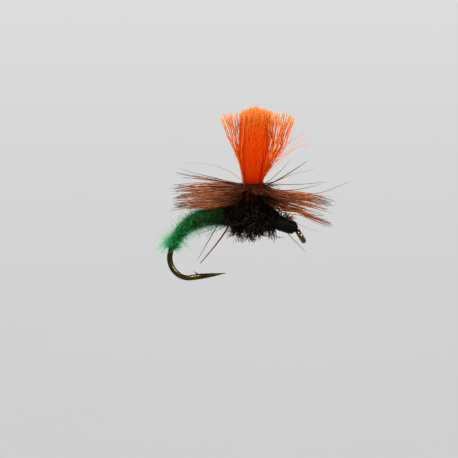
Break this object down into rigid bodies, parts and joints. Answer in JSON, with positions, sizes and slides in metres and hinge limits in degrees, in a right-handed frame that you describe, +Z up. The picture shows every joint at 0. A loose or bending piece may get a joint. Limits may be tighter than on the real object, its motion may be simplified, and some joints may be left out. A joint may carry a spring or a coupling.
{
  "type": "dry fly",
  "caption": "Parachute emerger dry fly on a curved down-eye hook: green dubbed abdomen, herl thorax, orange yarn wing post with a brown hackle wound round its base, black thread head.",
  "frame": {"origin": "centre of the hook's eye, on the eye's own axis", "axes": "+X forward past the eye, +Z up along the wing post, +Y to the fly's left side; the hook lies in the XZ plane"},
  "size_m": [0.0198, 0.0158, 0.0173],
  "materials": {
    "bronzed_wire": "bronzed, satin",
    "black_thread": "waxed thread",
    "orange_yarn": "combed yarn",
    "green_dubbing": "fuzzy",
    "green_dubbing_fibre": "fine fibre",
    "herl": "iridescent",
    "herl_flue": "fuzzy, iridescent",
    "orange_filament": "translucent filament",
    "hackle_stem": "keratin, satin",
    "hackle_barb": "keratin, glossy"
  },
  "bodies": {
    "root": {"hook": "bronzed_wire", "thread_base": "black_thread", "yarn_butts": "orange_yarn", "abdomen_dubbing": "green_dubbing", "dubbing_fibres": "green_dubbing_fibre", "herl_quill_rear": "herl", "herl_quill_front": "herl", "herl_flue": "herl_flue", "wing_post": "orange_yarn", "wing_fringe": "orange_filament", "post_wraps": "black_thread", "hackle_quill": "hackle_stem", "hackle_butt": "hackle_stem", "hackle_barbs_front": "hackle_barb", "hackle_barbs_far": "hackle_barb", "hackle_barbs_rear": "hackle_barb", "hackle_barbs_near": "hackle_barb", "hackle_barbs_stray": "hackle_barb", "hackle_tip_tag": "hackle_barb", "head_wraps": "black_thread", "whip_finish": "black_thread"}
  },
  "joints": []
}
